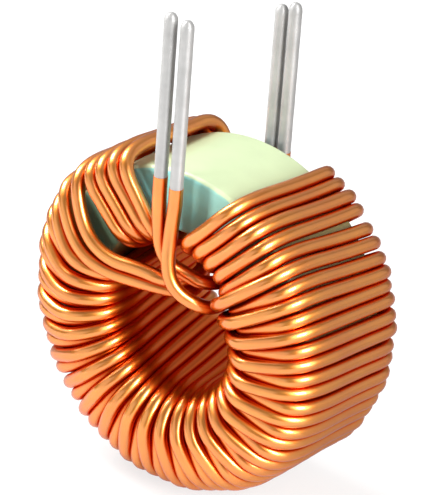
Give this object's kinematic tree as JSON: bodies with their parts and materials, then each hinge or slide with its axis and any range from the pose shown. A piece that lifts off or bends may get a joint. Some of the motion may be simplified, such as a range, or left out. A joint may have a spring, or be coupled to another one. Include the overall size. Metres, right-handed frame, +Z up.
{
  "type": "toroidal inductor",
  "caption": "Ring-core inductor: a painted ring wound all round with a side-by-side pair of enamelled copper wires, with tinned lead ends that stand up on one side.",
  "frame": {"origin": "on the ground under the middle of the ring, at the bottom centre of the bounding box", "axes": "+Z up along the leads towards their tips, -Y out of the ring's front face (the ring's axis runs along Y), +X to the right seen from the front"},
  "size_m": [0.0367, 0.0202, 0.0527],
  "materials": {
    "core_paint": "satin paint, pale yellow-green rim with blue-green faces",
    "enamelled_copper": "clear enamel over bright copper",
    "tin": "solder-tinned, satin"
  },
  "bodies": {
    "root": {"core": "core_paint", "wire_a": "enamelled_copper", "wire_b": "enamelled_copper", "tin_front_left": "tin", "tin_front_right": "tin", "tin_rear_left": "tin", "tin_rear_right": "tin"}
  },
  "joints": []
}
